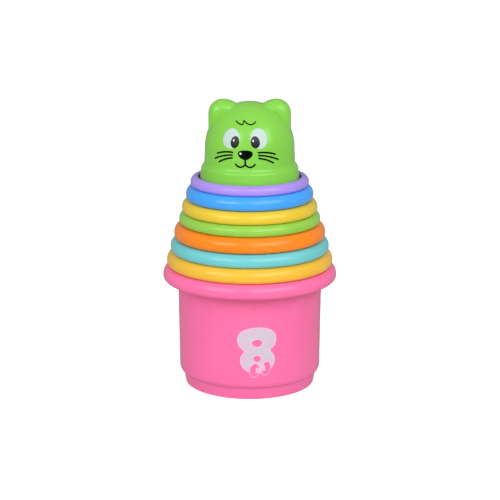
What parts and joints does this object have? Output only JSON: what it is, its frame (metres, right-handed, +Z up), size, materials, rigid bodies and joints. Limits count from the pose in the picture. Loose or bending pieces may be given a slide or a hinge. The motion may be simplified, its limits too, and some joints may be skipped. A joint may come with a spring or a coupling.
{
  "type": "stacking cup tower",
  "caption": "Nesting toddler cups with thick rounded rims, each sitting in the next larger one, topped by a hollow cat head with round ears.",
  "frame": {"origin": "centre of the largest cup's foot, on the floor plane and on the common axis of all the pieces", "axes": "+Z up along the common axis, -Y to the front where the face and the numeral are (each turned 6.5 degrees to one side), +X to the viewer's right"},
  "size_m": [0.092, 0.092, 0.1524],
  "materials": {
    "pink_plastic": "satin",
    "amber_plastic": "satin",
    "turquoise_plastic": "satin",
    "orange_plastic": "satin",
    "green_plastic": "satin",
    "yellow_plastic": "satin",
    "blue_plastic": "satin",
    "purple_plastic": "satin",
    "head_green_plastic": "satin"
  },
  "bodies": {
    "cup_8": {"cup_8": "pink_plastic"},
    "cup_7": {"cup_7": "amber_plastic"},
    "cup_6": {"cup_6": "turquoise_plastic"},
    "cup_5": {"cup_5": "orange_plastic"},
    "cup_4": {"cup_4": "green_plastic"},
    "cup_3": {"cup_3": "yellow_plastic"},
    "cup_2": {"cup_2": "blue_plastic"},
    "cup_1": {"cup_1": "purple_plastic"},
    "cat_head": {"cat_head": "head_green_plastic"}
  },
  "joints": [
    {"name": "lift_cup_7", "type": "slide", "parent": "cup_8", "child": "cup_7", "axis": [0, 0, 1], "range_m": [0, 0.059]},
    {"name": "lift_cup_6", "type": "slide", "parent": "cup_7", "child": "cup_6", "axis": [0, 0, 1], "range_m": [0, 0.057]},
    {"name": "lift_cup_5", "type": "slide", "parent": "cup_6", "child": "cup_5", "axis": [0, 0, 1], "range_m": [0, 0.052]},
    {"name": "lift_cup_4", "type": "slide", "parent": "cup_5", "child": "cup_4", "axis": [0, 0, 1], "range_m": [0, 0.052]},
    {"name": "lift_cup_3", "type": "slide", "parent": "cup_4", "child": "cup_3", "axis": [0, 0, 1], "range_m": [0, 0.048]},
    {"name": "lift_cup_2", "type": "slide", "parent": "cup_3", "child": "cup_2", "axis": [0, 0, 1], "range_m": [0, 0.044]},
    {"name": "lift_cup_1", "type": "slide", "parent": "cup_2", "child": "cup_1", "axis": [0, 0, 1], "range_m": [0, 0.043]},
    {"name": "lift_cat_head", "type": "slide", "parent": "cup_1", "child": "cat_head", "axis": [0, 0, 1], "range_m": [0, 0.011]}
  ]
}
